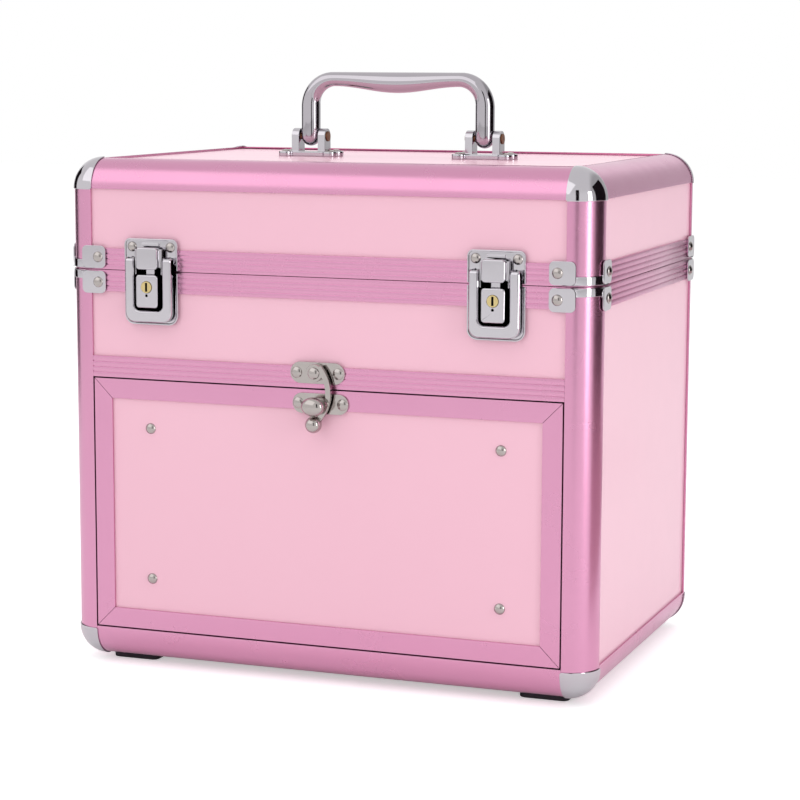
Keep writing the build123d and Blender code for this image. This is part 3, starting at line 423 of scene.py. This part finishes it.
@dataclass
class Shell:
    """Laminated panels held by anodised edge rails. Edge roundings in millimetres."""

    rail_edge: float = 0.22
    groove_edge: float = 0.1
    panels: tuple[str, ...] = (
        "lid_top_panel", "lid_front_panel", "lid_back_panel", "lid_side_panels", "bottom_panel", "back_panel",
        "left_side_panel", "right_side_panel", "upper_front_panel", "drawer_front_panel",
    )
    plain_rails: tuple[str, ...] = (
        "lid_top_rails", "lid_corner_posts", "body_corner_posts", "bottom_rails", "drawer_frame",
    )
    grooved_rails: tuple[str, ...] = ("lid_rim_rails", "body_rim_rails", "cross_rail")

    def build(self) -> None:
        """Finishes the panels and rails."""
        for node in self.panels:
            dress(node, PINK_LAMINATE)
        for node in self.plain_rails:
            soften(node, PINK_ANODISED, self.rail_edge)
        for node in self.grooved_rails:
            soften(node, PINK_ANODISED, self.groove_edge, flat=False)


@dataclass
class CornerHardware:
    """Ball corners, strap clips and their screws. Edge roundings in millimetres."""

    cap_edge: float = 0.3
    clip_edge: float = 0.4
    screw_edge: float = 0.15

    def build(self) -> None:
        """Finishes the eight corners."""
        for node in ("lid_corner_caps", "bottom_corner_caps"):
            soften(node, BRIGHT_CHROME, self.cap_edge)
        for node in ("lid_corner_clips", "body_corner_clips"):
            soften(node, BRIGHT_CHROME, self.clip_edge)
        for node in ("lid_clip_screws", "body_clip_screws"):
            soften(node, CAST_NICKEL, self.screw_edge)


@dataclass
class DrawLatches:
    """Both draw latches: catch plates, bases, levers, claws and locks.

    Edge roundings in millimetres. The keyway's reach is a share of the plug's radius, and its depth is how
    far behind the plug's face its painted shade starts, in millimetres.
    """

    sheet_edge: float = 0.4
    lever_edge: float = 0.8
    block_edge: float = 0.5
    plug_edge: float = 0.15
    keyway_reach: float = 0.75
    keyway_depth: float = 0.2

    def build(self) -> None:
        """Finishes the latches."""
        for node in ("keeper_plates", "latch_bases"):
            soften(node, BRIGHT_CHROME, self.sheet_edge)
        for hand in ("left", "right"):
            soften(f"{hand}_latch_lever", BRIGHT_CHROME, self.lever_edge)
            soften(f"{hand}_latch_claw", BRIGHT_CHROME, self.block_edge)
            soften(f"{hand}_key_plug", TURNED_BRASS, self.plug_edge)
            self.paint_keyway_shade(hand)
        soften("lock_bodies", BRIGHT_CHROME, self.block_edge)
        soften("keeper_rivets", CAST_NICKEL, self.sheet_edge)
        dress("lever_pins", CAST_NICKEL)

    def paint_keyway_shade(self, hand: str) -> None:
        """Paints shade on the walls and the floor of a plug's key slot, where the keyway's shadow falls.

        Args:
            hand: which latch, left or right.
        """
        low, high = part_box(f"{hand}_key_plug")
        middle = (low + high) / 2
        piece = bpy.data.objects[f"{hand}_key_plug_soft"]
        # The slot's faces get a second material: painted shade, near black, where the keyway's shadow falls.
        piece.data.materials.append(wardrobe.of(KEYWAY_PAINTED_SHADE))
        for face in piece.data.polygons:
            off = math.hypot(face.center.x - middle.x, face.center.z - middle.z)
            inside = off < self.keyway_reach * (high.x - low.x) / 2
            face.material_index = int(inside and face.center.y > low.y + self.keyway_depth * MM)


@dataclass
class SwingHook:
    """The swing hook, its plate and the knob on the drawer. Edge roundings in millimetres."""

    plate_edge: float = 0.3
    arm_edge: float = 0.5

    def build(self) -> None:
        """Finishes the hook and the knob."""
        for node in ("hook_plate", "hook_screws", "knob_screws", "knob_plate"):
            soften(node, CAST_NICKEL, self.plate_edge)
        soften("hook_arm", CAST_NICKEL, self.arm_edge)


@dataclass
class Drawer:
    """The drawer's box, its bolts and its runners. Edge roundings in millimetres."""

    board_edge: float = 0.5
    bolt_edge: float = 0.2

    def build(self) -> None:
        """Finishes the drawer."""
        for node in ("drawer_inner_front", "drawer_sides", "drawer_back", "drawer_floor"):
            soften(node, BLACK_BOARD, self.board_edge)
        for node in ("drawer_nuts", "runner_bars", "runner_channels"):
            soften(node, ZINC_STEEL, self.bolt_edge)
        soften("drawer_bolts", CAST_NICKEL, self.bolt_edge)


@dataclass
class Interior:
    """The compartment under the lid and the boards that carry it."""

    def build(self) -> None:
        """Finishes the linings and boards."""
        for node in ("lid_lining", "compartment_lining"):
            dress(node, FLOCKED_FOAM)
        for node in ("compartment_floor", "runner_boards"):
            dress(node, BLACK_BOARD)


@dataclass
class Feet:
    """The four rubber feet. Edge rounding in millimetres."""

    foot_edge: float = 0.8

    def build(self) -> None:
        """Finishes the feet."""
        soften("rubber_feet", MOULDED_RUBBER, self.foot_edge)


@dataclass
class BackHinges:
    """The two hinges behind the case. Edge rounding in millimetres."""

    leaf_edge: float = 0.2

    def build(self) -> None:
        """Finishes the hinges."""
        for node in ("lid_hinge_leaves", "body_hinge_leaves", "hinge_pins"):
            soften(node, BRIGHT_CHROME, self.leaf_edge)


@dataclass
class CarryHandle:
    """The carrying handle: a round bail with a swollen grip, in two brackets.

    Sizes in millimetres. The grip's end and middle are its width and height there.
    """

    sides: int = 48
    leg_radius: float = 6.0
    bend_radius: float = 16.0
    grip_end: tuple[float, float] = (9.4, 8.8)
    grip_middle: tuple[float, float] = (13.0, 12.8)
    bend_steps: int = 12
    grip_steps: int = 14
    foot_steps: int = 10
    foot_tip: float = 0.12
    bracket_edge: float = 0.5
    bracket_fine_edge: float = 0.25
    weld: float = 0.005
    middle_weld: float = 0.01
    smooth_angle: float = 50.0
    ring_play: float = 0.001
    ring_angle_play: float = 0.001

    def build(self) -> None:
        """Models the bail and finishes the brackets."""
        self.bail()
        soften("handle_brackets", BRIGHT_CHROME, self.bracket_edge)
        soften("handle_pins", AGED_PIN, self.bracket_fine_edge)
        soften("bracket_screws", CAST_NICKEL, self.bracket_fine_edge)

    def ring(
        self, step: tuple[float, float, float], centre: Vector, scale: tuple[float, float, float],
    ) -> None:
        """Extrudes the open ring by a step and scales it about its new middle.

        Args:
            step: how far the ring moves.
            centre: the ring's new middle.
            scale: its new size against the last.
        """
        bpy.ops.mesh.extrude_region_move(TRANSFORM_OT_translate={"value": step})
        bpy.ops.transform.resize(value=scale, center_override=centre)

    def bail(self) -> None:
        """Models the right half from the leg's foot to the middle of the grip, and mirrors it."""
        low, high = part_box("handle_bail")
        middle_y = (low.y + high.y) / 2
        leg_x = high.x - self.leg_radius * MM
        pivot_z = low.z + self.leg_radius * MM
        bend_x = leg_x - self.bend_radius * MM
        bend_z = high.z - (self.grip_end[1] / 2 + self.bend_radius) * MM
        clear_selection()
        bpy.ops.mesh.primitive_circle_add(
            vertices=self.sides, radius=self.leg_radius * MM, location=(leg_x, middle_y, pivot_z),
        )
        piece = bpy.context.active_object
        piece.name = "handle_bail_polished"
        settle(piece)
        bpy.ops.object.mode_set(mode="EDIT")
        bpy.ops.mesh.select_all(action="SELECT")
        self.ring((0, 0, bend_z - pivot_z), Vector((leg_x, middle_y, bend_z)), (1, 1, 1))
        bpy.ops.mesh.spin(
            steps=self.bend_steps, angle=math.pi / 2, center=(bend_x, middle_y, bend_z), axis=(0, 1, 0),
        )
        bpy.ops.object.mode_set(mode="OBJECT")
        self.taper_bend(piece, Vector((bend_x, middle_y, bend_z)))
        self.grip(piece, bend_x, middle_y, high.z)
        self.foot(piece, Vector((leg_x, middle_y, pivot_z)))
        apply_modifier(piece, "MIRROR", {"use_clip": True, "merge_threshold": self.middle_weld * MM})
        bpy.ops.object.mode_set(mode="EDIT")
        bpy.ops.mesh.select_all(action="SELECT")
        bpy.ops.mesh.remove_doubles(threshold=self.weld * MM)
        bpy.ops.mesh.normals_make_consistent(inside=False)
        bpy.ops.object.mode_set(mode="OBJECT")
        bpy.ops.object.shade_smooth_by_angle(angle=math.radians(self.smooth_angle))
        hand_over(piece, POLISHED_ROD, "handle_bail")

    def taper_bend(self, piece: bpy.types.Object, bend: Vector) -> None:
        """Narrows the bend's rings one by one from the leg's round to the grip's end.

        Args:
            piece: the handle as far as it is made.
            bend: the middle of the bend.
        """
        for step in range(1, self.bend_steps + 1):
            angle = math.pi / 2 * step / self.bend_steps
            share = step / self.bend_steps
            centre = bend + Vector((math.cos(angle), 0, math.sin(angle))) * self.bend_radius * MM
            wide = 1 + share * (self.grip_end[0] / 2 / self.leg_radius - 1)
            tall = 1 + share * (self.grip_end[1] / 2 / self.leg_radius - 1)

            def in_ring(place: Vector, angle: float = angle) -> bool:
                """Tells whether a point lies on the bend's spoke at this angle."""
                out = place - bend
                turned = abs(math.atan2(out.z, out.x) - angle)
                return out.z > -self.ring_play * MM and turned < self.ring_angle_play

            pick_ring(piece, in_ring)
            bpy.ops.transform.resize(value=(tall, wide, tall), center_override=centre)
            bpy.ops.object.mode_set(mode="OBJECT")

    def grip(self, piece: bpy.types.Object, bend_x: float, middle_y: float, top: float) -> None:
        """Draws the last ring out to the middle of the handle, swelling it into the belly.

        Args:
            piece: the handle as far as it is made.
            bend_x: where the grip starts.
            middle_y: the handle's middle plane.
            top: the height of the grip's straight top.
        """
        take(piece)
        bpy.ops.object.mode_set(mode="EDIT")
        wide, tall = self.grip_end
        for step in range(1, self.grip_steps + 1):
            swell = math.sin(math.pi / 2 * step / self.grip_steps) ** 2
            new_wide = self.grip_end[0] + swell * (self.grip_middle[0] - self.grip_end[0])
            new_tall = self.grip_end[1] + swell * (self.grip_middle[1] - self.grip_end[1])
            along = bend_x / self.grip_steps
            centre = Vector((bend_x - along * step, middle_y, top - new_tall / 2 * MM))
            self.ring((-along, 0, (tall - new_tall) / 2 * MM), centre, (1, new_wide / wide, new_tall / tall))
            wide, tall = new_wide, new_tall
        bpy.ops.object.mode_set(mode="OBJECT")

    def foot(self, piece: bpy.types.Object, pivot: Vector) -> None:
        """Closes the leg's lower end with a ball that turns between the bracket's ears.

        Args:
            piece: the handle as far as it is made.
            pivot: the middle of the ball.
        """
        pick_ring(piece, lambda place: abs(place.z - pivot.z) < self.ring_play * MM)
        drop, width = 0.0, 1.0
        for step in range(1, self.foot_steps + 1):
            angle = math.pi / 2 * step / self.foot_steps
            next_drop = math.sin(angle) * self.leg_radius * MM
            next_width = max(math.cos(angle), self.foot_tip / self.leg_radius)
            centre = pivot - Vector((0, 0, next_drop))
            self.ring((0, 0, drop - next_drop), centre, (next_width / width, next_width / width, 1))
            drop, width = next_drop, next_width
        bpy.ops.mesh.edge_face_add()
        bpy.ops.object.mode_set(mode="OBJECT")


# ---------------------------------------------------------------- studio


@dataclass
class Card:
    """A flat card or lamp that faces its aim. Sizes in metres, the tone in sRGB."""

    name: str
    place: tuple[float, float, float]
    size: tuple[float, float]
    aim: tuple[float, float, float] = (0.0, 0.0, 0.18)
    tone: str = "1C1519"


@dataclass
class Lamp(Card):
    """A soft box with its power in watts, which mirrors show or not."""

    power: float = 10.0
    mirrored: bool = True


@dataclass
class Studio:
    """White floor, soft boxes, dark cards for the chrome, and the camera.

    Sizes in metres, the camera's angles in radians, its lens and sensor in millimetres. Mirrors see white
    walls, which darken to the ceiling between two heights of the mirrored ray, and to the side wall between
    two sums of its Y and its X, where X counts more by the lean.
    """

    camera_place: tuple[float, float, float] = (0.51408, -1.36199, 0.36494)
    camera_yaw: float = -0.3564
    camera_pitch: float = -0.1430
    camera_roll: float = 0.0037
    lens: float = 105.76
    sensor: float = 36.0
    clip: tuple[float, float] = (0.05, 30.0)
    world_light: float = 0.7
    ceiling: float = 0.9
    ceiling_heights: tuple[float, float] = (0.2, 0.6)
    side_wall: float = 0.6
    side_wall_lean: float = 1.6
    side_wall_ways: tuple[float, float] = (0.9, 1.3)
    floor_size: float = 12.0
    floor_tone: str = "F4F4F4"
    mirror_floor: float = 0.1
    camera_floor: float = 0.45
    lamps: tuple[Lamp, ...] = (
        Lamp("key_left", (-1.6, -2.2, 2.6), (4.4, 2.8), power=24.0),
        Lamp("strip_right", (1.37, -0.61, 0.45), (0.3, 0.84), power=3.4),
        Lamp("fill_front", (-0.8, -2.6, 1.2), (2.0, 1.6), power=3.6, mirrored=False),
        Lamp("top", (0.2, 0.3, 2.3), (2.8, 2.4), power=20.0, mirrored=False),
    )
    cards: tuple[Card, ...] = (
        Card("dark_card_right", (1.16, 0.42, 0.45), (1.15, 1.3)),
        Card("dark_floor_right", (0.98, 0.33, 0.004), (1.15, 0.9), (0.98, 0.33, -1.0), "C6ABB2"),
        Card("dark_card_left", (-1.3, 0.36, 0.42), (0.6, 0.9)),
        Card("dark_card_camera", (0.66, -1.45, 0.6), (0.3, 1.1)),
    )

    def build(self) -> None:
        """Sets up the studio."""
        self.camera()
        self.world()
        self.floor()
        for lamp in self.lamps:
            self.lamp(lamp)
        for card in self.cards:
            self.card(card)
        bpy.context.scene.view_settings.view_transform = "Standard"

    def camera(self) -> None:
        """Sets the camera at the photograph's place."""
        yaw, pitch, roll = self.camera_yaw, self.camera_pitch, self.camera_roll
        ahead = Vector((math.sin(yaw) * math.cos(pitch), math.cos(yaw) * math.cos(pitch), math.sin(pitch)))
        level = Vector((math.cos(yaw), -math.sin(yaw), 0.0))
        upright = level.cross(ahead)
        right = math.cos(roll) * level + math.sin(roll) * upright
        up = -math.sin(roll) * level + math.cos(roll) * upright
        data = bpy.data.cameras.new("photo_camera")
        data.lens = self.lens
        data.sensor_width = self.sensor
        data.clip_start, data.clip_end = self.clip
        camera = bpy.data.objects.new("photo_camera", data)
        bpy.context.scene.collection.objects.link(camera)
        turned = Matrix((right, up, -ahead)).transposed().to_4x4()
        camera.matrix_world = Matrix.Translation(self.camera_place) @ turned
        bpy.context.scene.camera = camera

    def world(self) -> None:
        """Lights the case from all round, and shows white to the camera and to mirrors."""
        world = bpy.data.worlds.new("white_studio")
        world.use_nodes = True
        tree = world.node_tree
        tree.nodes.clear()
        path = add_node(tree, "ShaderNodeLightPath")
        mirror = add_node(
            tree, "ShaderNodeMath", {"operation": "MAXIMUM"},
            {0: path.outputs["Is Glossy Ray"], 1: path.outputs["Is Transmission Ray"]},
        )
        way = add_node(
            tree, "ShaderNodeSeparateXYZ", None,
            {0: add_node(tree, "ShaderNodeTexCoord").outputs["Generated"]},
        )
        ceiling = add_node(
            tree, "ShaderNodeMapRange", {"interpolation_type": "SMOOTHSTEP"},
            {"Value": way.outputs["Z"], "From Min": self.ceiling_heights[0],
             "From Max": self.ceiling_heights[1], "To Min": 1.0, "To Max": self.ceiling},
        )
        behind_right = add_node(
            tree, "ShaderNodeMath", {"operation": "MULTIPLY_ADD"},
            {0: way.outputs["X"], 1: self.side_wall_lean, 2: way.outputs["Y"]},
        )
        side_wall = add_node(
            tree, "ShaderNodeMapRange", {"interpolation_type": "SMOOTHSTEP"},
            {"Value": behind_right.outputs[0], "From Min": self.side_wall_ways[0],
             "From Max": self.side_wall_ways[1], "To Min": 1.0, "To Max": self.side_wall},
        )
        wall = add_node(
            tree, "ShaderNodeMath", {"operation": "MULTIPLY"},
            {0: ceiling.outputs["Result"], 1: side_wall.outputs["Result"]},
        )
        seen_by_mirror = add_node(
            tree, "ShaderNodeMix", {"data_type": "FLOAT"},
            {0: mirror.outputs[0], 2: self.world_light, 3: wall.outputs[0]},
        )
        level = add_node(
            tree, "ShaderNodeMath", {"operation": "MAXIMUM"},
            {0: path.outputs["Is Camera Ray"], 1: seen_by_mirror.outputs[0]},
        )
        light = add_node(
            tree, "ShaderNodeBackground", None,
            {"Color": linear("FFFFFF"), "Strength": level.outputs[0]},
        )
        add_node(tree, "ShaderNodeOutputWorld", None, {"Surface": light.outputs[0]})
        bpy.context.scene.world = world

    def floor(self) -> None:
        """Lays a white floor that keeps a soft shadow under the case."""
        clear_selection()
        bpy.ops.mesh.primitive_plane_add(size=self.floor_size, location=(0, 0, 0))
        floor = bpy.context.active_object
        floor.name = "studio_floor"
        material, tree = new_tree("paper_white")
        path = add_node(tree, "ShaderNodeLightPath")
        matt = add_node(tree, "ShaderNodeBsdfDiffuse", None, {"Color": linear(self.floor_tone)})
        mirror_lift = add_node(
            tree, "ShaderNodeMath", {"operation": "MULTIPLY"},
            {0: path.outputs["Is Glossy Ray"], 1: self.mirror_floor},
        )
        lift = add_node(
            tree, "ShaderNodeMath", {"operation": "MULTIPLY_ADD"},
            {0: path.outputs["Is Camera Ray"], 1: self.camera_floor, 2: mirror_lift.outputs[0]},
        )
        glow = add_node(
            tree, "ShaderNodeEmission", None,
            {"Color": linear("FFFFFF"), "Strength": lift.outputs[0]},
        )
        both = add_node(tree, "ShaderNodeAddShader", None, {0: matt.outputs[0], 1: glow.outputs[0]})
        add_node(tree, "ShaderNodeOutputMaterial", None, {"Surface": both.outputs[0]})
        floor.data.materials.append(material)

    def aim(self, thing: bpy.types.Object, card: Card) -> None:
        """Turns a card or lamp to face its aim."""
        thing.location = card.place
        thing.rotation_euler = (Vector(card.aim) - Vector(card.place)).to_track_quat("-Z", "Y").to_euler()

    def lamp(self, lamp: Lamp) -> None:
        """Hangs one soft box."""
        data = bpy.data.lights.new(lamp.name, "AREA")
        data.shape = "RECTANGLE"
        data.size, data.size_y = lamp.size
        data.energy = lamp.power
        thing = bpy.data.objects.new(lamp.name, data)
        thing.visible_glossy = lamp.mirrored
        bpy.context.scene.collection.objects.link(thing)
        self.aim(thing, lamp)

    def card(self, card: Card) -> None:
        """Sets up one card that only mirrors see, so that the metal has something dark to show."""
        clear_selection()
        bpy.ops.mesh.primitive_plane_add(size=1.0)
        thing = bpy.context.active_object
        thing.name = card.name
        thing.scale = (card.size[0], card.size[1], 1.0)
        self.aim(thing, card)
        material, tree = new_tree(f"{card.name}_cloth")
        dark = add_node(tree, "ShaderNodeBsdfDiffuse", None, {"Color": linear(card.tone)})
        clear = add_node(tree, "ShaderNodeBsdfTransparent")
        path = add_node(tree, "ShaderNodeLightPath")
        shown = add_node(
            tree, "ShaderNodeMixShader", None,
            {0: path.outputs["Is Glossy Ray"], 1: clear.outputs[0], 2: dark.outputs[0]},
        )
        add_node(tree, "ShaderNodeOutputMaterial", None, {"Surface": shown.outputs[0]})
        thing.data.materials.append(material)


@dataclass
class MakeupCase:
    """The whole case, sub-assembly by sub-assembly."""

    parts: list[Any] = field(default_factory=lambda: [
        Shell(), CornerHardware(), DrawLatches(), SwingHook(), Drawer(), Interior(), Feet(), BackHinges(),
        CarryHandle(),
    ])

    def build(self) -> None:
        """Builds every sub-assembly in order."""
        for part in self.parts:
            log.info("-- %s", type(part).__name__)
            part.build()


def main() -> None:
    """Builds the case and its studio."""
    MakeupCase().build()
    Studio().build()


if __name__ == "__main__":
    main()
